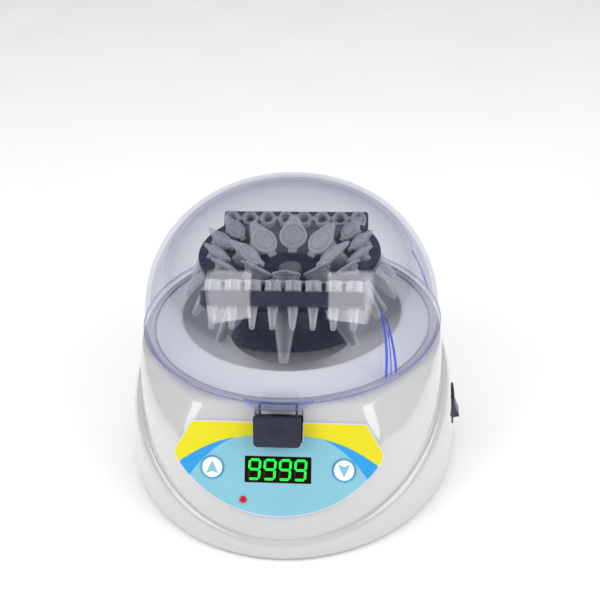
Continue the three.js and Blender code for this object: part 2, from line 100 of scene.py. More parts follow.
def surface(name, colour, vary, rough, grain, bump, patch, **sockets):
    """A moulded or machined surface: patchy colour and roughness, with a fine grain."""
    made, tree = blank_material(name)
    shader = node(tree, "ShaderNodeBsdfPrincipled", **sockets)
    out = node(tree, "ShaderNodeOutputMaterial")
    dark, light = [tuple(min(1, c * k) for c in colour) for k in (1 - vary, 1 + vary)]
    tone = mixed(tree, noise(tree, patch), dark, light)
    polish = ranged(tree, noise(tree, patch * 2.7), *rough)
    relief = node(tree, "ShaderNodeBump", Strength=bump, Distance=0.0002)
    wire(tree, (tone, shader.inputs["Base Color"]), (polish, shader.inputs["Roughness"]),
         (noise(tree, grain, 2.0), relief.inputs["Height"]),
         (relief.outputs["Normal"], shader.inputs["Normal"]), (shader.outputs["BSDF"], out.inputs["Surface"]))
    return made


def facing(tree, low, high, power=1.0):
    """From low, where a surface is seen square on, to high at its edge."""
    weight = node(tree, "ShaderNodeLayerWeight", Blend=0.5)
    curve = tree.nodes.new("ShaderNodeMath")
    curve.operation = "POWER"
    curve.inputs[1].default_value = power
    wire(tree, (weight.outputs["Facing"], curve.inputs[0]))
    return ranged(tree, curve.outputs["Value"], low, high, 0.0, 1.0)


def clear(name, square, edge, haze, haze_colour, gloss=(0.045, 0.75)):
    """Clear moulded plastic: a tint that deepens where it is seen edge on, a mirror and a thin haze."""
    made, tree = blank_material(name)
    through = node(tree, "ShaderNodeBsdfTransparent")
    veil = node(tree, "ShaderNodeBsdfDiffuse", Color=(*haze_colour, 1))
    mirror = node(tree, "ShaderNodeBsdfGlossy", Color=(0.97, 0.97, 1, 1), Roughness=0.03)
    relief = node(tree, "ShaderNodeBump", Strength=0.02, Distance=0.0004)
    body, whole = tree.nodes.new("ShaderNodeMixShader"), tree.nodes.new("ShaderNodeMixShader")
    out = node(tree, "ShaderNodeOutputMaterial")
    wire(tree, (mixed(tree, facing(tree, 0.0, 1.0), square, edge, 0.1, 1.0), through.inputs["Color"]),
         (facing(tree, *haze, 1.8), body.inputs[0]), (through.outputs[0], body.inputs[1]),
         (veil.outputs[0], body.inputs[2]), (facing(tree, *gloss, 4.0), whole.inputs[0]),
         (body.outputs[0], whole.inputs[1]), (mirror.outputs[0], whole.inputs[2]),
         (noise(tree, 60, 1.0), relief.inputs["Height"]),
         (relief.outputs["Normal"], mirror.inputs["Normal"]), (whole.outputs[0], out.inputs["Surface"]))
    return made


def frosted(name, colour, alpha, rough=(0.22, 0.4), **sockets):
    """Thin translucent plastic, more solid where it is seen edge on."""
    made = surface(name, colour, 0.03, rough, 1400, 0.05, 220, **sockets)
    tree = made.node_tree
    shader = next(n for n in tree.nodes if n.type == "BSDF_PRINCIPLED")
    wire(tree, (facing(tree, *alpha, 1.3), shader.inputs["Alpha"]))
    return made


# Name, colour, how far it varies, roughness from and to, scale of the grain, bump, scale of the patches.
WHITE = surface("gloss_white", (0.52, 0.52, 0.525), 0.008, (0.14, 0.2), 1500, 0.012, 18,
                Coat_Weight=1.0, Coat_Roughness=0.05)
INNER_WHITE = surface("bowl_white", (0.66, 0.68, 0.73), 0.01, (0.3, 0.4), 1500, 0.02, 25)
# A brighter white for the bowl's inside: painted light in place of the shade that falls there.
BOWL_PAINTED_LIGHT = surface("bowl_inner_painted_light", (0.92, 0.93, 0.97), 0.01, (0.3, 0.4), 1500, 0.02, 25)
NAVY = surface("navy_plastic", (0.036, 0.038, 0.072), 0.08, (0.26, 0.36), 1100, 0.015, 60)
NAVY_MATTE = surface("navy_textured", (0.022, 0.024, 0.044), 0.12, (0.5, 0.6), 2200, 0.3, 90,
                     Specular_IOR_Level=0.3)
KNOB = surface("knob_grey", (0.13, 0.13, 0.17), 0.08, (0.3, 0.42), 1200, 0.08, 90)
BLACK = surface("black_plastic", (0.012, 0.012, 0.014), 0.15, (0.35, 0.5), 1500, 0.12, 80)
WINDOW = surface("display_black", (0.012, 0.006, 0.004), 0.1, (0.08, 0.12), 2000, 0.01, 80, Coat_Weight=0.5)
SEGMENT_OFF = surface("segment_dark", (0.03, 0.014, 0.01), 0.1, (0.2, 0.3), 2000, 0.02, 80)
SEGMENT_ON = surface("segment_green", (0.0, 0.55, 0.03), 0.05, (0.3, 0.4), 2000, 0.02, 80,
                     Emission_Color=(0.01, 0.85, 0.06, 1), Emission_Strength=0.9)
LAMP = surface("lamp_red", (0.42, 0.015, 0.02), 0.1, (0.1, 0.2), 1500, 0.02, 120,
               Emission_Color=(0.8, 0.02, 0.02, 1), Emission_Strength=0.06, Coat_Weight=0.6)
YELLOW = surface("film_yellow", (0.70, 0.62, 0.006), 0.02, (0.3, 0.38), 2600, 0.05, 50)
LIGHT_BLUE = surface("film_light_blue", (0.21, 0.48, 0.58), 0.02, (0.3, 0.38), 2600, 0.05, 50)
MID_BLUE = surface("film_blue", (0.02, 0.30, 0.68), 0.02, (0.3, 0.38), 2600, 0.05, 50)
FILM_EDGE = surface("film_edge", (0.62, 0.60, 0.80), 0.02, (0.3, 0.4), 2600, 0.05, 50)
KEY_WHITE = surface("key_white", (0.86, 0.88, 0.90), 0.01, (0.3, 0.38), 2600, 0.05, 80)
RUBBER = surface("foot_rubber", (0.02, 0.02, 0.021), 0.15, (0.75, 0.9), 1600, 0.3, 90)
FOAM = surface("seal_foam", (0.55, 0.56, 0.62), 0.05, (0.8, 0.95), 2600, 0.5, 200)
STEEL = surface("satin_steel", (0.55, 0.56, 0.58), 0.05, (0.22, 0.36), 1800, 0.06, 160, Metallic=1.0)
MOTOR_CAN = surface("motor_can", (0.32, 0.33, 0.35), 0.08, (0.3, 0.45), 1500, 0.1, 120, Metallic=1.0)
BOARD = surface("board_green", (0.015, 0.13, 0.05), 0.2, (0.3, 0.5), 1900, 0.2, 400)
# Name, tint square on and at the edge, haze square on and at the edge, haze colour and mirror.
DOME = clear("dome_clear", (0.97, 0.97, 0.975), (0.82, 0.83, 0.88), (0.004, 0.10), (0.55, 0.57, 0.70),
             (0.055, 0.38))
DOME_EDGE = clear("dome_edge", (0.80, 0.82, 0.97), (0.55, 0.6, 0.93), (0.1, 0.4), (0.40, 0.44, 0.82))
DOME_MARK = clear("dome_mark", (0.35, 0.42, 0.95), (0.3, 0.35, 0.9), (0.35, 0.8), (0.10, 0.16, 0.85))
# Name, colour, alpha square on and at the edge, and roughness.
TUBE = frosted("tube_frosted", (0.74, 0.76, 0.82), (0.12, 0.7), (0.15, 0.25), Coat_Weight=0.4)
TUBE_LID = frosted("lid_frosted", (0.56, 0.58, 0.65), (0.26, 0.85))
LIQUID = frosted("liquid_clear", (0.50, 0.54, 0.62), (0.12, 0.4), (0.05, 0.1))
STRIP_CLEAR = frosted("strip_frosted", (0.86, 0.88, 0.93), (0.16, 0.85), (0.12, 0.2), Coat_Weight=0.5)


# ---- Shapes: (points in mm, faces) ----
def merge(*shapes):
    """Several shapes as one."""
    points, faces, count = [], [], 0
    for pts, fcs in shapes:
        points.append(np.asarray(pts, float).reshape(-1, 3))
        faces += [tuple(i + count for i in f) for f in fcs]
        count += len(points[-1])
    return np.concatenate(points), faces


def placed(shape, *matrices):
    """A shape moved by each matrix in turn."""
    points, faces = shape
    for m in matrices:
        m = np.array(m)
        points = np.asarray(points, float) @ m[:3, :3].T + m[:3, 3]
    return points, faces


ALONG_X = Matrix(((0, 0, 1, 0), (1, 0, 0, 0), (0, 1, 0, 0), (0, 0, 0, 1)))  # X, Y and Z become Y, Z and X


def move(x, y, z):
    return Matrix.Translation((x, y, z))


def turn(degrees, axis):
    return Matrix.Rotation(math.radians(degrees), 4, axis)


def grid(rows, wrap_rows=False):
    """Quads between closed rows of points, which all have the same count."""
    rows = np.asarray(rows, float)
    n, m = rows.shape[:2]
    faces = []
    for i in range(n if wrap_rows else n - 1):
        for j in range(m):
            k, l = (i + 1) % n, (j + 1) % m
            faces.append((i * m + j, i * m + l, k * m + l, k * m + j))
    return rows.reshape(-1, 3), faces


def fillet(points, radius, steps=4, closed=False):
    """Rounds the corners of a run of 2-D points, by one radius or by one for each."""
    pts = [np.array(p, float) for p in points]
    n = len(pts)
    radii = radius if isinstance(radius, (list, tuple)) else [radius] * n
    out = []
    for i, p in enumerate(pts):
        if (not closed and i in (0, n - 1)) or radii[i] <= 0:
            out.append(p)
            continue
        a, b = pts[i - 1] - p, pts[(i + 1) % n] - p
        la, lb = np.linalg.norm(a), np.linalg.norm(b)
        reach = min(radii[i], 0.45 * la, 0.45 * lb)
        start, stop = p + a / la * reach, p + b / lb * reach
        for s in range(steps + 1):
            t = s / steps
            out.append((1 - t) ** 2 * start + 2 * t * (1 - t) * p + t * t * stop)
    return np.array(out)


def lathe(profile, sides, closed=False):
    """A solid of revolution about Z from (radius, height) pairs."""
    angles = np.arange(sides) * 2 * math.pi / sides
    rows = [np.stack([r * np.cos(angles), r * np.sin(angles), np.full(sides, z)], 1) for r, z in profile]
    return grid(rows, wrap_rows=closed)


def prism(outline, low, high):
    """A flat shape between two heights, from an outline in the XY plane."""
    outline = np.asarray(outline, float)
    n = len(outline)
    points = np.concatenate([np.column_stack([outline, np.full(n, z)]) for z in (low, high)])
    faces = [tuple(range(n - 1, -1, -1)), tuple(range(n, 2 * n))]
    faces += [(i, (i + 1) % n, n + (i + 1) % n, n + i) for i in range(n)]
    return points, faces


def rect(w, h, r, y=0.0):
    """A rounded rectangle's outline, with its middle at (0, y)."""
    corners = [(-w / 2, y - h / 2), (w / 2, y - h / 2), (w / 2, y + h / 2), (-w / 2, y + h / 2)]
    return fillet(corners, r, closed=True)


def circle(r, n=48):
    a = np.arange(n) * 2 * math.pi / n
    return np.column_stack([r * np.cos(a), r * np.sin(a)])


def brick(w, d, h, r):
    """A block about the origin with rounded upright edges."""
    return prism(rect(w, d, r), -h / 2, h / 2)


def build(name, shape, weld=True):
    """A new object in the scene, with its faces pointing out."""
    points, faces = shape
    mesh = bpy.data.meshes.new(name)
    mesh.from_pydata((np.asarray(points) * MM + ORIGIN).tolist(), [], faces)
    work = bmesh.new()
    work.from_mesh(mesh)
    if weld:
        bmesh.ops.remove_doubles(work, verts=work.verts, dist=1e-6)
        bmesh.ops.dissolve_degenerate(work, edges=work.edges, dist=1e-7)
    bmesh.ops.recalc_face_normals(work, faces=work.faces)
    work.to_mesh(mesh)
    work.free()
    obj = bpy.data.objects.new(name, mesh)
    bpy.context.scene.collection.objects.link(obj)
    return obj


def apply_modifiers(obj):
    graph = bpy.context.evaluated_depsgraph_get()
    final = bpy.data.meshes.new_from_object(obj.evaluated_get(graph))
    old = obj.data
    obj.modifiers.clear()
    obj.data = final
    bpy.data.meshes.remove(old)


def piece(name, shape, material, body, replaced=None, sharp=35, bevel=0.0, segments=3):
    """A finished piece that rides on a body. It takes a CAD node's place, hiding that node, or it is an
    extra.
    """
    obj = build(name, shape)
    for m in material if isinstance(material, list) else [material]:
        obj.data.materials.append(m)
    if bevel:
        edge = obj.modifiers.new("edge", "BEVEL")
        edge.width, edge.segments, edge.limit_method = bevel * MM, segments, "ANGLE"
        edge.angle_limit = math.radians(32)
        edge.use_clamp_overlap = True
        apply_modifiers(obj)
    obj.data.shade_smooth()
    obj.data.set_sharp_from_angle(angle=math.radians(sharp))
    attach(obj, body)
    if replaced:
        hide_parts(replaced)
    return obj


def carve(obj, *shapes):
    """Cuts closed shapes out of a piece."""
    for shape in shapes:
        cutter = build("cutter", shape, weld=False)
        cut = obj.modifiers.new("cut", "BOOLEAN")
        cut.object, cut.operation, cut.solver = cutter, "DIFFERENCE", "EXACT"
        apply_modifiers(obj)
        bpy.data.objects.remove(cutter)
    obj.data.set_sharp_from_angle(angle=math.radians(30))


def centre_of(name):
    """Middle of a CAD node's box, in millimetres round the rotor's axis."""
    low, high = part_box(name)
    return ((np.array(low) + np.array(high)) / 2 - ORIGIN) / MM


def away_and_height(face):
    """How far a face lies from the rotor's axis, and its height, in millimetres."""
    x, y, z = (np.array(face.center) - ORIGIN) / MM
    return math.hypot(x, y), z


# ---- Housing ----
# Height, half width, front and rear of each elliptic section.
SKIRT = [(1.5, 80, -97.5, 80), (30, 78.6, -96.5, 79.5), (66, 74.6, -95, 79)]
BODY = [(1.5, 75, -94.5, 76), (30, 74, -94.5, 76), (50, 73, -94, 76.5), (61, 72.6, -90, 77),
        (66, 72, -84, 77)]
BODY_FRONT = -94.5
WALL = 2.4
CHAMBER_EDGE = 56.7
MIDDLE = np.array([0, 0, 30.0])
PANEL_TILT = 59
PANEL_SPOT = (0, -83, 42.6)
PANEL = move(*PANEL_SPOT) @ turn(PANEL_TILT, "X")
KEYS = {"up": move(-28.6, -0.9, 0), "down": move(28.6, -0.9, 0)}  # in the panel's plane


def at_switch(x):
    """A place on the rocker switch's line, which runs along X."""
    return move(x, -4, 19.5)


def at_inlet(y, x=0, z=0):
    """A place on the power inlet's line, which runs along Y, or beside it."""
    return move(x, y, 24 + z)


def section(table, z):
    """Half width, middle and reach in Y of an elliptic section."""
    zs = [row[0] for row in table]
    half, front, rear = [np.interp(z, zs, [row[i] for row in table]) for i in (1, 2, 3)]
    return half, (front + rear) / 2, (rear - front) / 2


def crease(y):
    """Height of the parting line, which climbs from the front to a soft knee and runs level behind it."""
    front, level, knee = 11, 57, 5
    climb = front + math.tan(math.radians(23)) * (y - BODY_FRONT)
    return level - knee * np.logaddexp(0, (level - climb) / knee)


def facet(tilt, spin, spot):
    """Normal of a flat facet, and its distance from the housing's middle."""
    normal = np.array((turn(spin, "Z") @ turn(tilt, "X")).to_3x3() @ Vector((0, 0, 1)))
    return normal, float(normal @ (np.array(spot) - MIDDLE))


def body_surface(azimuths, heights, inset=0.0):
    """Points of the faceted upper housing along rays from its middle."""
    a, e = np.meshgrid(azimuths, heights)
    d = np.stack([np.cos(e) * np.cos(a), np.cos(e) * np.sin(a), np.sin(e)], -1)
    # How far each ray runs to the elliptic body, whose section changes with height, from a first guess.
    t = np.full(a.shape, 75.0)
    for _ in range(8):
        half, middle, reach = section(BODY, MIDDLE[2] + t * d[..., 2])
        p = (d[..., 0] / half) ** 2 + (d[..., 1] / reach) ** 2
        q = -d[..., 1] * middle / reach ** 2
        r = (middle / reach) ** 2 - 1
        t = (-q + np.sqrt(np.maximum(q * q - p * r, 0))) / p
    # One over the distance to the body, the deck, the panel and the front corners. A high power of them
    # follows the nearest surface, with soft edges between them.
    gauges = [1 / t, np.maximum(d[..., 2], 0) / (DECK - MIDDLE[2])]
    corners = [(52, side * 50, (side * 47, -76, 50)) for side in (1, -1)]
    for tilt, spin, spot in ((PANEL_TILT, 0, PANEL_SPOT), *corners):
        normal, distance = facet(tilt, spin, spot)
        gauges.append(np.maximum(d @ normal, 0) / distance)
    crispness = 60.0
    total = sum(g ** crispness for g in gauges) ** (1 / crispness)
    return MIDDLE + d * (1 / total - inset)[..., None]


COLUMNS = 288
azimuths = np.arange(COLUMNS) * 2 * math.pi / COLUMNS
top_angle = math.atan((DECK - MIDDLE[2]) / CHAMBER_EDGE)
heights = np.radians(np.concatenate([np.arange(-14, 18, 1.0), np.arange(18, math.degrees(top_angle), 0.3)]))
heights = np.append(heights, top_angle)
outer = body_surface(azimuths, heights)
inner = body_surface(azimuths, heights, WALL)[::-1]
shell = grid(np.concatenate([outer, inner]), wrap_rows=True)
upper = piece("upper_shell", shell, WHITE, "housing", "upper_housing", sharp=40)
latch_hole = placed(brick(21.3, 30, 26, 1.5), move(0, -84.5, 64))
carve(upper, latch_hole)


def skirt_ring(table, z, grow=0.0):
    """Points round an elliptic section, moved out by grow."""
    half, middle, reach = section(table, z)
    return np.stack([(half + grow) * np.cos(azimuths), middle + (reach + grow) * np.sin(azimuths),
                     np.broadcast_to(z, azimuths.shape)], 1)


def skirt_rows():
    """Rings of the lower housing: up its outside, over the parting line and down its inside."""
    top = crease(skirt_ring(SKIRT, np.full(COLUMNS, 40.0))[:, 1])
    low, bend = 2.6, 6.4
    under = [(3.0, -WALL), (1.5, -2.2), (1.5, -0.9), (1.8, -0.25), (low, 0)]
    rows = [skirt_ring(SKIRT, z, grow) for z, grow in under]
    for t in np.linspace(0.06, 1, 14):
        rows.append(skirt_ring(SKIRT, low + (top - bend - low) * t))
    for s in np.radians(np.linspace(0, 90, 10)[1:]):
        z = top - bend + bend * math.sin(s)
        out, into = skirt_ring(SKIRT, z), skirt_ring(BODY, z, -0.2)
        rows.append(into + (out - into) * math.cos(s))
    rows += [skirt_ring(BODY, top - drop, -0.4) for drop in (0.8, 3.0)]
    for t in (0, *np.linspace(0.2, 0.95, 6)):
        rows.append(skirt_ring(SKIRT, (top - 5.0) * (1 - t) + 3.0 * t, -WALL))
    return rows


skirt = piece("skirt_shell", grid(skirt_rows(), wrap_rows=True), WHITE, "housing", "lower_housing", sharp=40)
switch_hole = placed(brick(30, 11.5, 15.5, 1.0), at_switch(80))
inlet_hole = placed(brick(27, 30, 20, 1.0), at_inlet(80))
carve(skirt, switch_hole, inlet_hole)

half, middle, reach = section(SKIRT, 4)
base_gap = 3.2
stretch = Matrix.Diagonal((half - base_gap, reach - base_gap, 1, 1))
plate = placed(prism(circle(1, 144), 3.2, 5.6), stretch, move(0, middle, 0))
piece("base_cover", plate, WHITE, "housing", "base_plate", bevel=0.6)
FOOT = fillet([(0, 0), (6.2, 0), (7, 0.8), (7, 2.8), (2, 2.8), (2, 6.4), (0, 6.4)], 0.5)
SCREW = fillet([(0, 1.5), (0.001, 1.5), (3, 1.5), (3, 2.8), (1.7, 2.8), (1.7, 12), (0, 12)], 0.35)
for i in range(1, 5):
    x, y, _ = centre_of(f"rubber_foot_{i}")
    piece(f"foot_{i}", placed(lathe(FOOT, 48), move(x, y, 0)), RUBBER, "housing", f"rubber_foot_{i}")
    x, y, _ = centre_of(f"base_screw_{i}")
    screw = piece(f"screw_{i}", placed(lathe(SCREW, 36), move(x, y, 0)), STEEL, "housing", f"base_screw_{i}")
    carve(screw, *[placed(brick(w, d, 1.4, 0.2), move(x, y, 1.6)) for w, d in ((3.6, 0.8), (0.8, 3.6))])

bowl = [(6, 48.2), (38, 48.2), (50.2, 56), (54.4, 62), (56.2, 66.2), (66.3, 66.2), (66.3, 67.0),
        (54.4, 71.9), (52.8, 71.9), (51.2, 62), (47, 56), (37, 50), (6, 50)]
bowl = fillet(bowl, [0, 3, 3, 1, 0.1, 0.2, 0.4, 0.8, 0.8, 4, 4, 4, 0.4], 6, closed=True)
bowl = lathe(bowl, 144, closed=True)
bowl = piece("bowl_shell", bowl, [INNER_WHITE, BOWL_PAINTED_LIGHT], "housing", "chamber_bowl", sharp=40)
# The bowl is given a brighter white inside than on its rim and its outside: painted light that lifts the
# shade the rotor and the dome cast into it.
for face in bowl.data.polygons:
    away, height = away_and_height(face)
    face.material_index = int(away < 53.2 and height < 71)
seal = fillet([(67.2, 66.15), (69.6, 66.15), (69.6, 66.9), (67.2, 66.9)], 0.2, closed=True)
piece("seal_ring", lathe(seal, 144, closed=True), FOAM, "housing", "lid_seal")

# ---- Dome ----
DOME_RADIUS, DOME_RISE, DOME_FOOT, DOME_POWER = 70.8, 65.4, 69.2, 2.24
FLANGE_LOW, FLANGE_RADIUS = 67.2, 72.2
HINGE = move(0, 76.6, 68.6)


def dome_curve(inset):
    """The dome's profile from its foot to the axis, a superellipse."""
    points = []
    for s in np.linspace(0, 1, 41):
        t = s ** 0.9 * math.pi / 2
        across = max(math.cos(t), 0) ** (2 / DOME_POWER) if s < 1 else 0
        points.append(((DOME_RADIUS - inset) * across,
                       DOME_FOOT + (DOME_RISE - inset) * math.sin(t) ** (2 / DOME_POWER)))
    return points


flange = [(68.6, FLANGE_LOW), (71.9, FLANGE_LOW), (FLANGE_RADIUS, 67.5), (FLANGE_RADIUS, 68.9),
          (71.9, DOME_FOOT), (70.9, 69.25)]
dome = lathe(dome_curve(0) + dome_curve(2.2)[::-1] + flange, 192, closed=True)
dome = piece("dome", dome, [DOME, DOME_EDGE], "lid", "dome_lid", sharp=40)
# The rim of the dome's flange has the edge colour, as the sides of its tab have.
for face in dome.data.polygons:
    away, height = away_and_height(face)
    face.material_index = int(away > 71.7 and height < DOME_FOOT + 0.01)

tab_reach, tab_front = 72.0, -76.4
tab_turns = np.radians(np.linspace(12.2, -12.2, 17))
flange_arc = [(tab_reach * math.sin(a), -tab_reach * math.cos(a)) for a in tab_turns]
tab = prism([(10, tab_front), *flange_arc, (-10, tab_front)], FLANGE_LOW, DOME_FOOT)
tab = piece("dome_tab", tab, [DOME, DOME_EDGE], "lid", bevel=0.25)
for face in tab.data.polygons:
    face.material_index = int(abs(face.normal.z) < 0.8)
for i, x in enumerate((-8, 8)):
    hook = placed(brick(0.9, 3, 7, 0.3), move(x, -73, 64))
    piece(f"dome_hook_{i + 1}", hook, NAVY, "lid", bevel=0.3)
leaf = placed(brick(26, 6.2, 2, 0.6), move(0, 73.4, 68.2))
barrel = fillet([(1.6, -13), (3.4, -13), (3.4, 13), (1.6, 13)], 0.4, closed=True)
barrel = placed(lathe(barrel, 48, closed=True), turn(90, "Y"), HINGE)
piece("dome_barrel", merge(leaf, barrel), DOME_EDGE, "lid")


def on_dome(azimuth, z, lift):
    """A point on the dome's outside, or lifted off it."""
    rise = max(0.0, min(1.0, (z - DOME_FOOT) / DOME_RISE)) ** DOME_POWER
    r = DOME_RADIUS * (1 - rise) ** (1 / DOME_POWER) + lift
    a = math.radians(azimuth)
    return np.array([r * math.cos(a), r * math.sin(a), z])


def rib(start, stop, width, lift):
    """A raised line on the dome from one (azimuth, height) to another, thin where it starts."""
    rows, steps = [], 26
    for k in range(steps + 1):
        t = k / steps
        az, z = start[0] + (stop[0] - start[0]) * t, start[1] + (stop[1] - start[1]) * t
        w = width * (0.15 + 0.85 * math.sin(math.pi * min(1, t * 1.6 + 0.02) / 2))
        mid, low = on_dome(az, z, lift), on_dome(az, z, -0.35)
        side = np.array([-math.sin(math.radians(az)), math.cos(math.radians(az)), 0]) * w / 2
        rows.append([low - side, mid - side * 0.5, mid + side * 0.5, low + side])
    points, faces = grid(rows)
    faces += [(3, 2, 1, 0), tuple(steps * 4 + i for i in range(4))]
    return points, faces


marks = merge(rib((-47.6, 101), (-49.3, 69.8), 1.5, 0.25), rib((-46.2, 97), (-44.4, 69.8), 1.3, 0.25),
              rib((-46.9, 92), (-47.0, 69.8), 0.4, 0.15))
piece("dome_marks", marks, DOME_MARK, "lid")
rear_marks = merge(rib((33, 84), (20, 71), 0.9, 0.2), rib((26, 76), (19, 69.6), 1.6, 0.25))
piece("dome_rear_marks", rear_marks, DOME_MARK, "lid")

# ---- Hinge ----
ear = [(-3.2, -8), (3.2, -8), (3.2, 0.4), (2.2, 2.6), (0, 3.2), (-2.2, 2.6), (-3.2, 0.4)]
ear = fillet(ear, 0.9, closed=True)
ears = [placed(prism(ear, -2, 2), ALONG_X, move(x, 0, 0), HINGE) for x in (-15.7, 15.7)]
hinge_foot = placed(brick(36, 6.4, 2.2, 0.8), move(0, 75.6, 61.5))
piece("hinge_block", merge(hinge_foot, *ears), NAVY, "housing", "hinge_bracket", bevel=0.3)
pin = fillet([(0, -17.6), (1.2, -17.6), (1.2, 17.6), (0, 17.6)], 0.3)
piece("hinge_rod", placed(lathe(pin, 32), turn(90, "Y"), HINGE), STEEL, "housing", "hinge_pin")

# ---- Latch ----
BUTTON = [turn(73, "X"), move(0, -79.4, 59.2)]
button = [(-10.2, -6.7), (10.2, -6.7), (10.2, 6.7), (-10.2, 6.7)]
button = fillet(button, [2.2, 2.2, 0.7, 0.7], 6, closed=True)
button = placed(prism(button, 0, 2.9), *BUTTON)
piece("latch_cap", button, NAVY_MATTE, "latch", "latch_button", bevel=0.55, segments=4)
ridges = [placed(prism(rect(8, 0.7, 0.3, y), 2.6, 3.15), *BUTTON) for y in (2.2, 0.8, -0.6)]
piece("latch_ridges", merge(*ridges), NAVY_MATTE, "latch", bevel=0.2)
stem = placed(brick(9, 10.5, 6, 0.6), move(0, -76.2, 57.2))
piece("latch_stem", stem, NAVY_MATTE, "latch", bevel=0.3)
low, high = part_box("latch_frame")
latch_bar = placed(brick(*((high - low) / MM), 0.5), move(*centre_of("latch_frame")))
piece("latch_bar", latch_bar, NAVY, "housing", "latch_frame", bevel=0.3)

# ---- Panel: the label's fields lie flat, then PANEL tilts them ----
NOTCH = 10.95  # half width that the label's colours leave free for the latch
LABEL_TIP = 1.2  # height at which the label's upper and lower colours meet at its sides


def bezier(a, b, c, n):
    """The n points after a on a curve from a to c that leaves and arrives in line with b."""
    a, b, c = map(np.array, (a, b, c))
    return [tuple((1 - t) ** 2 * a + 2 * t * (1 - t) * b + t * t * c) for t in np.linspace(0, 1, n + 1)[1:]]


def label_outline(shrink=0.0):
    """The label's edge: pointed sides, a rounded foot and, at the top, a notch for the latch."""
    top, tip, low = 19.3 - shrink, 45.4 - shrink, -22 + shrink
    right = [(38 - shrink * 0.6, top), (tip, 7)]
    right += bezier((tip, 7), (tip + 0.8, 3.5), (tip - 2.4, 0.6), 5)
    right += bezier((tip - 2.4, 0.6), (27, low + 0.6), (0, low), 22)
    left = [(-x, y) for x, y in right[::-1]][1:]
    notch, notch_low = 10.5 + shrink, 10.2 - shrink
    return right + left + [(-notch, top), (-notch, notch_low), (notch, notch_low), (notch, top)]


def field(name, outline, material, low, high):
    return piece(name, placed(prism(outline, low, high), PANEL), material, "housing", sharp=30)


film = placed(prism(label_outline(), 0.3, 0.72), PANEL)
film = piece("label_film", film, FILM_EDGE, "housing", "panel_label", sharp=30)

# The arc that divides the label's colours runs smoothly past these points.
ARC = [(-43.9, 0.2), (-40, 2.6), (-33.5, 6.6), (-24.5, 10.3), (-14, 12.9), (0, 14), (14, 13.1), (24.5, 10.9),
       (33.5, 7.3), (40, 3.4), (43.9, 0.9)]
arc_fit = np.polyfit([x for x, y in ARC], [y for x, y in ARC], 6)


def on_arc(x):
    return (x, float(np.polyval(arc_fit, x)))


edge = label_outline(0.45)
arc = [on_arc(x) for x in np.linspace(-43.1, 43.1, 163)]
for word, side in (("right", 1), ("left", -1)):
    along = [p for p in arc[::side] if side * p[0] > 11.0]
    tips = [p for p in edge[::-side] if p[1] > LABEL_TIP and side * p[0] > 11.0]
    field(f"yellow_{word}", [on_arc(side * NOTCH), *along, *tips, (side * NOTCH, 18.85)], YELLOW, 0.7, 0.80)
above = [(x, min(y, 9.7) if abs(x) < NOTCH else y) for x, y in arc[::-1]]
below = sorted((p for p in edge if p[1] <= LABEL_TIP), key=lambda p: p[0])
blue_film = field("blue_field", below + above, LIGHT_BLUE, 0.7, 0.79)
for word, side in (("left", -1), ("right", 1)):
    wedge = [(43.0, 0.9)] + [p for p in arc[::-1] if 19 < p[0] < 42.9] + [on_arc(19)]
    wedge += bezier(on_arc(19), (31, 7.2), (38.6, -4.6), 14) + [(40.8, -2.1)]
    field(f"blue_wedge_{word}", [(side * x, y) for x, y in wedge], MID_BLUE, 0.78, 0.86)

for spot in KEYS.values():
    key_hole = placed(prism(circle(5.08), -3.2, 1.2), spot, PANEL)
    for panel_piece in (upper, film, blue_film):
        carve(panel_piece, key_hole)

# ---- Display ----
WINDOW_MIDDLE = -1.4
window = placed(prism(rect(28.9, 11.5, 0.5), -0.8, 0.95), move(0, WINDOW_MIDDLE, 0), PANEL)
piece("window_plate", window, WINDOW, "housing", "display_window", bevel=0.12)
WIDE, HIGH, STROKE, PITCH, LEAN = 4.5, 8.3, 1.05, 6.65, 0.07  # of the digits
SEGMENTS = {"a": (0, HIGH, WIDE, HIGH), "b": (WIDE, HIGH, WIDE, HIGH / 2), "c": (WIDE, HIGH / 2, WIDE, 0),
            "d": (0, 0, WIDE, 0), "e": (0, HIGH / 2, 0, 0), "f": (0, HIGH, 0, HIGH / 2),
            "g": (0, HIGH / 2, WIDE, HIGH / 2)}


def bar(x0, y0, x1, y1):
    """One six-sided segment of a digit between two points."""
    d = np.array([x1 - x0, y1 - y0], float)
    d /= np.linalg.norm(d)
    n = np.array([-d[1], d[0]]) * STROKE / 2
    a, b = np.array([x0, y0]) + d * 0.14, np.array([x1, y1]) - d * 0.14
    in_a, in_b = a + d * STROKE / 2, b - d * STROKE / 2
    return [a, in_a - n, in_b - n, b, in_b + n, in_a + n]


lit, unlit = [], []
for digit in range(4):
    left = -10.5 + digit * PITCH - WIDE / 2
    for key, ends in SEGMENTS.items():
        outline = [(x + y * LEAN + left, y - HIGH / 2 + WINDOW_MIDDLE) for x, y in bar(*ends)]
        (unlit if key == "e" else lit).append(placed(prism(outline, 0.9, 1.02), PANEL))
piece("digits_lit", merge(*lit), SEGMENT_ON, "housing", sharp=30)
piece("digits_unlit", merge(*unlit), SEGMENT_OFF, "housing", sharp=30)
lamp = [(0, -5.6), (1.2, -5.6), (1.2, 0.82), (1.7, 0.86), (1.3, 1.6), (0, 1.8)]
lamp = fillet(lamp, [0, 0.3, 0, 0.1, 0.5, 0])
piece("lamp_bead", placed(lathe(lamp, 32), move(-15, -14.7, 0), PANEL), LAMP, "housing", "status_led")

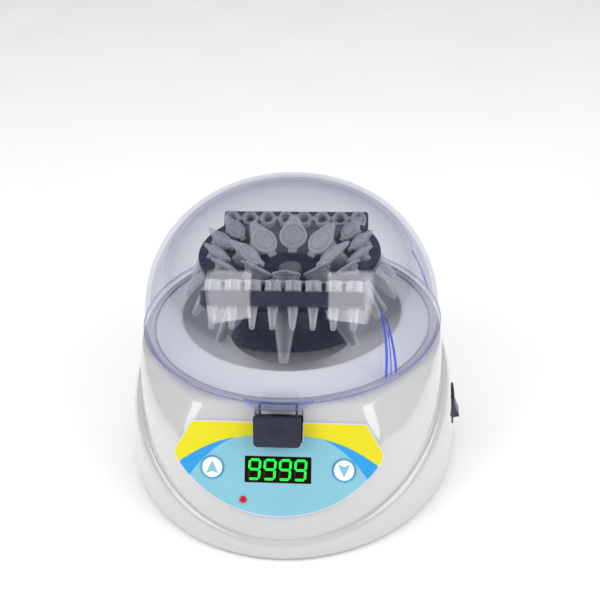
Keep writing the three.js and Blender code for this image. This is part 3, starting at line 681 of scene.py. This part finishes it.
# ---- Keys ----
KEY = fillet([(0, -2.2), (1.6, -2.2), (1.6, -0.6), (4.9, -0.6), (4.9, 0.95), (4.4, 1.3), (0, 1.34)], 0.3)
KEY_RING = [(4.35, 1.2), (4.9, 1.0), (4.92, 1.32), (4.4, 1.42)]
ARROW = fillet([(0, 3.0), (-2.75, -2.7), (0, -1.6), (2.75, -2.7)], 0.3, 3, closed=True)
for word, spot in KEYS.items():
    body = f"{word}_key_body"
    points_up = 1 if word == "up" else -1
    arrow = prism([(x, y * points_up) for x, y in ARROW], 1.25, 1.42)
    piece(f"{word}_cap", placed(lathe(KEY, 64), spot, PANEL), KEY_WHITE, body, f"{word}_key")
    piece(f"{word}_arrow", placed(arrow, spot, PANEL), LIGHT_BLUE, body)
    piece(f"{word}_ring", placed(lathe(KEY_RING, 64, closed=True), spot, PANEL), MID_BLUE, body)

# ---- Rotor ----
TILT = 40
STRIP_OUT, STRIP_HIGH = 31.2, 105.2


def strip_seat(side, x=0):
    return [turn(side * TILT, "X"), move(x, side * STRIP_OUT, STRIP_HIGH)]


rotor = [(3.0, 84), (9, 84), (14, 66), (28, 60), (31, 60), (30, 66), (24, 92), (27, 96), (31, 100.5),
         (43, 100.5), (43, 104), (35, 104), (12.5, 90.5), (3.0, 90.5)]
rotor = fillet(rotor, [0, 1, 3, 1, 0.8, 3, 3, 2, 1.2, 0.8, 1.0, 1.2, 2, 0], 5, closed=True)
rotor = piece("rotor_hub", lathe(rotor, 144, closed=True), NAVY, "rotor_head", "rotor", sharp=40)
carve(rotor, *[placed(brick(100, 20, 20, 1), move(0, side * 36.8, 104)) for side in (-1, 1)])
bars = [placed(brick(wide, 12, 6.4, 1.4), move(0, -side * inward, -8.8), *strip_seat(side))
        for side in (-1, 1) for wide, inward in ((72.6, 0), (32, 11))]
piece("rotor_bars", merge(*bars), NAVY, "rotor_head", bevel=0.5)
knob = fillet([(0, 90.85), (5.6, 90.85), (5.6, 94.4), (5.0, 95.2), (0, 95.2)], 0.4)
piece("rotor_knob", lathe(knob, 64), KNOB, "rotor_head", "rotor_nut")
shaft = fillet([(0, 40.5), (2.5, 40.5), (2.5, 91.4), (0, 91.4)], 0.3)
piece("shaft_rod", lathe(shaft, 40), STEEL, "rotor_head", "motor_shaft")

# ---- Tubes: each is drawn upright, with its lid at Z = 0, then seated in the rotor ----
LARGE = dict(ring=18.8, z=102, length=41.5, radius=5.3, lid=6.6)
SMALL = dict(ring=32.6, z=106, length=28.5, radius=3.7, lid=4.9)


def seat(kind, angle):
    return [turn(-TILT, "Y"), move(kind["ring"], 0, kind["z"]), turn(angle, "Z")]


def tube_body(kind):
    length, r, wall = kind["length"], kind["radius"], 0.7
    out = [(0, -length), (r * 0.4, -length + 0.7), (r, -length * 0.5), (r, -3.4), (r + 0.9, -3.0),
           (r + 0.9, -1.4)]
    into = [(r - wall, -1.4), (r - wall, -length * 0.5), (r * 0.4 - wall * 0.7, -length + 1.9),
            (0, -length + 1.5)]
    return lathe(fillet(out + into, [0, 1.4, 3, 0.5, 0.3, 0.3, 0.3, 3, 0.6, 0], 5), 40)


def teardrop(r, nose, reach):
    """The outline round a large circle and a small one further out along +X."""
    meet = math.acos((r - nose) / reach)
    big = np.linspace(meet, 2 * math.pi - meet, 36)
    small = np.linspace(-meet, meet, 12)
    return np.concatenate([np.column_stack([r * np.cos(big), r * np.sin(big)]),
                           np.column_stack([reach + nose * np.cos(small), nose * np.sin(small)])])


def tube_cap(lid):
    """The lid's flap, with the thumb tab on it."""
    flap = prism(teardrop(lid * 1.03, lid * 0.36, lid * 1.36), -1.4, -0.45)
    thumb = placed(prism(rect(lid * 0.42, lid * 0.66, 0.5), -0.55, 0.45), move(-lid * 1.13, 0, -0.85))
    return merge(flap, thumb)


def tube_dish(lid):
    """The raised rings on the lid and the hollow inside them."""
    rim = [(lid * 0.84, -0.5), (lid * 1.0, -0.5), (lid * 0.98, 0.0), (lid * 0.86, 0.0)]
    dish = [(lid * 0.62, -0.5), (lid * 0.62, 0.0), (lid * 0.5, 0.0), (lid * 0.48, -0.8), (0, -0.8), (0, -1.3),
            (lid * 0.66, -1.3)]
    return merge(lathe(fillet(dish, 0.15), 40), lathe(fillet(rim, 0.12, closed=True), 48, closed=True))


def liquid(kind, top):
    length, r, wall = kind["length"], kind["radius"], 0.85
    tip = r * 0.4 - wall * 0.7
    brim = np.interp(top, [-length + 1.9, -length * 0.5], [tip, r - wall]) - 0.1
    fill = [(0, -length + 1.7), (r * 0.4 - wall * 0.8, -length + 2.2), (brim, top), (0, top + 0.15)]
    return lathe(fillet(fill, 0.25), 32)


large_angles = [i * 45 - 90 for i in range(8)]
small_angles = [side + (i - 1.5) * 22 for side in (0, 180) for i in range(4)]
for kind, angles, label in ((LARGE, large_angles, "large"), (SMALL, small_angles, "small")):
    for i, angle in enumerate(angles):
        at = seat(kind, angle)
        shapes = tube_body(kind), tube_cap(kind["lid"]), tube_dish(kind["lid"])
        tube, cap, dish = [placed(shape, *at) for shape in shapes]
        piece(f"{label}_tube_{i + 1}", tube, TUBE, "rotor_head", f"tube_{label}_{i + 1}", sharp=50)
        piece(f"{label}_cap_{i + 1}", cap, TUBE_LID, "rotor_head", bevel=0.22, segments=2)
        piece(f"{label}_dish_{i + 1}", dish, TUBE_LID, "rotor_head", sharp=50)
        if label == "large":
            fill = placed(liquid(kind, -24 if i % 2 == 0 else -29), *at)
            piece(f"{label}_liquid_{i + 1}", fill, LIQUID, "rotor_head")

# ---- Strips of eight small tubes ----
STRIP_PITCH = 9
cone = fillet([(0, -22), (1.1, -21.7), (2.9, -9), (2.9, -5.0), (3.4, -4.9), (3.5, 0), (2.4, 0), (2.2, -9),
               (0.7, -20.5), (0, -20.5)], [0, 0.5, 1, 0.2, 0.2, 0.3, 0.25, 1, 0.3, 0], 3)
band = fillet([(3.3, -0.9), (3.75, -0.9), (3.75, -0.1), (3.3, -0.1)], 0.15, closed=True)
band = lathe(band, 32, closed=True)
ribs = [placed(brick(0.5, 0.7, 4.4, 0.15), move(3.5, 0, -2.6), turn(a, "Z")) for a in range(0, 360, 36)]
strip_tube = merge(lathe(cone, 28), band, placed(band, move(0, 0, -3.9)), *ribs)
strip_link = placed(brick(3, 2, 1, 0.3), move(-STRIP_PITCH / 2, 0, -0.5))
for side, word in ((-1, "front"), (1, "rear")):
    tubes = []
    for i in range(8):
        for shape in (strip_tube, strip_link) if i else (strip_tube,):
            tubes.append(placed(shape, *strip_seat(side, (i - 3.5) * STRIP_PITCH)))
    piece(f"strip_{word}", merge(*tubes), STRIP_CLEAR, "rotor_head", f"pcr_strip_{word}", sharp=45)

# ---- Power entry ----
bezel = placed(prism(rect(13.2, 17.2, 1.6), -0.6, 0.5), ALONG_X, at_switch(79.7))
bucket = placed(brick(13, 10.8, 14.8, 0.8), at_switch(73.2))
switch = piece("switch_bezel", merge(bezel, bucket), NAVY, "housing", "switch_frame", bevel=0.25)
carve(switch, placed(brick(19, 9.6, 13.6, 0.8), at_switch(79.7)))
rocker = [(-3, -6.1), (2.9, -6.1), (1.9, 0), (2.9, 6.1), (-3, 6.1), (-4, 0)]
rocker = fillet(rocker, [0.5, 0.8, 4, 0.8, 0.5, 0.5], 5, closed=True)
rocker = placed(prism(rocker, -4.4, 4.4), turn(90, "X"), turn(-14, "Y"), at_switch(79.2))
piece("rocker_cap", rocker, NAVY, "rocker", "power_rocker", bevel=0.35)
outer_box = placed(prism(rect(32, 25, 1.4), -2.6, -0.2), turn(90, "X"), at_inlet(80))
inner_box = placed(brick(26, 17, 19, 1.0), at_inlet(71.3))
inlet = piece("inlet_shell", merge(outer_box, inner_box), BLACK, "housing", "power_inlet", bevel=0.5)
carve(inlet, placed(brick(22, 20, 15, 1.2), at_inlet(79.5)))
blades = [placed(brick(2, 14, 4, 0.3), at_inlet(72.5, x, z)) for x, z in ((-7, -1), (0, 3), (7, -1))]
piece("inlet_blades", merge(*blades), STEEL, "housing", bevel=0.2)

# ---- CAD nodes that stay: the hidden pieces inside the housing ----
STAYING = {"lid_switch": BLACK, "led_display": BLACK, "control_board": BOARD, "up_switch": BLACK,
           "down_switch": BLACK, "motor_mount": STEEL, "motor_damper_1": RUBBER, "motor_damper_2": RUBBER,
           "motor_damper_3": RUBBER, "motor_body": MOTOR_CAN, "supply_board": BOARD}
for name, material in STAYING.items():
    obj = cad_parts[name]
    obj.data.materials.clear()
    obj.data.materials.append(material)


# ---- Floor and light: places and sizes in metres ----
def flat(name, size, material):
    mesh = bpy.data.meshes.new(name)
    corners = [(-size, -size, 0), (size, -size, 0), (size, size, 0), (-size, size, 0)]
    mesh.from_pydata(corners, [], [(0, 1, 2, 3)])
    mesh.materials.append(material)
    obj = bpy.data.objects.new(name, mesh)
    bpy.context.scene.collection.objects.link(obj)
    return obj


FLOOR = surface("floor_white", (0.95, 0.95, 0.95), 0.004, (0.5, 0.6), 300, 0.01, 4)
flat("floor", 4.0, FLOOR)
AIM = Vector((0, 0, 0.06))


def softbox(name, place, width, height, power, roll=0.0):
    """A rectangular light that faces the object."""
    lamp = bpy.data.lights.new(name, "AREA")
    lamp.shape, lamp.size, lamp.size_y, lamp.energy = "RECTANGLE", width, height, power
    obj = bpy.data.objects.new(name, lamp)
    obj.location = place
    facing_aim = (AIM - Vector(place)).to_track_quat("-Z", "Y").to_matrix()
    obj.rotation_euler = (facing_aim @ Matrix.Rotation(math.radians(roll), 3, "Z")).to_euler()
    bpy.context.scene.collection.objects.link(obj)


softbox("key_left", (-0.62, -0.42, 0.62), 0.56, 0.7, 3.7, 38)
softbox("key_right", (0.66, -0.36, 0.58), 0.56, 0.7, 3.7, -38)
softbox("top", (0.0, 0.35, 1.15), 0.9, 0.7, 1.0)
world = bpy.data.worlds.new("studio")
world.use_nodes = True
world.node_tree.nodes["Background"].inputs["Color"].default_value = (1, 1, 1, 1)
world.node_tree.nodes["Background"].inputs["Strength"].default_value = 0.8
world.cycles_visibility.glossy = False  # so that gloss mirrors the softboxes alone
bpy.context.scene.world = world
bpy.context.scene.view_settings.view_transform = "Standard"

# ---- Camera: places in millimetres round the rotor's axis ----
elevation, azimuth, roll = [math.radians(a) for a in (31.2, 5.44, -2.0)]
target, distance, aside, lifted = Vector((0, 0, 60)), 500, 3.6, 14.0
sensor, lens = 36, 60.78
back = Vector((math.sin(azimuth) * math.cos(elevation), -math.cos(azimuth) * math.cos(elevation),
               math.sin(elevation)))
right = Vector((math.cos(azimuth), math.sin(azimuth), 0))
up = back.cross(right)
right, up = right * math.cos(roll) + up * math.sin(roll), up * math.cos(roll) - right * math.sin(roll)
place = target + distance * back + aside * right + lifted * up
cam = bpy.data.objects.new("camera", bpy.data.cameras.new("camera"))
cam.data.sensor_width, cam.data.lens = sensor, lens
cam.data.clip_start, cam.data.clip_end = 0.01, 20
turned = Matrix((right, up, back)).transposed().to_4x4()
cam.matrix_world = Matrix.Translation(place * MM + Vector(ORIGIN)) @ turned
bpy.context.scene.collection.objects.link(cam)
bpy.context.scene.camera = cam
